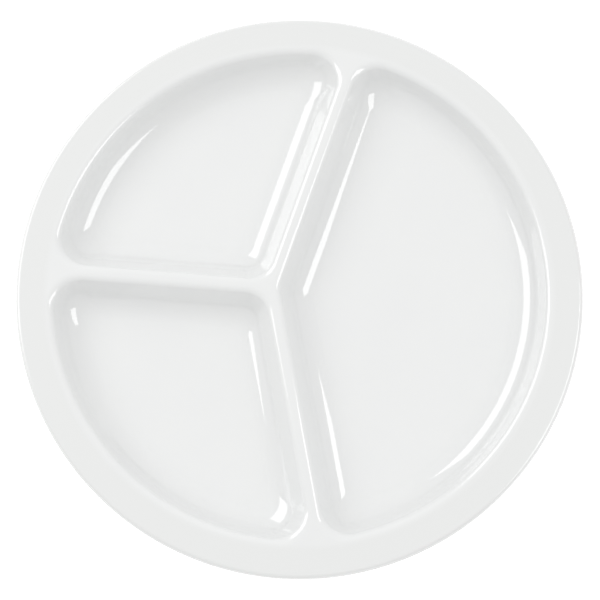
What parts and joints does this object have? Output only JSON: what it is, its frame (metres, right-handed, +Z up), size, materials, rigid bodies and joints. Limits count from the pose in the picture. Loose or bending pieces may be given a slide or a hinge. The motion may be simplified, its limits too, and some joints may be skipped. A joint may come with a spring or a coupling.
{
  "type": "divided compartment plate",
  "caption": "Round white melamine plate with a flat rim and low rounded dividers that part it into one large well and two smaller ones, on a low foot ring.",
  "frame": {"origin": "on the table under the centre of the round plate, at the bottom of the foot ring", "axes": "+Z up out of the wells; -X from the centre along the divider between the two small wells, so the large well lies towards +X"},
  "size_m": [0.254, 0.254, 0.019],
  "materials": {
    "melamine": "gloss",
    "overglaze": "gloss"
  },
  "bodies": {
    "root": {"plate_body": "melamine", "glaze_skin": "overglaze"}
  },
  "joints": []
}
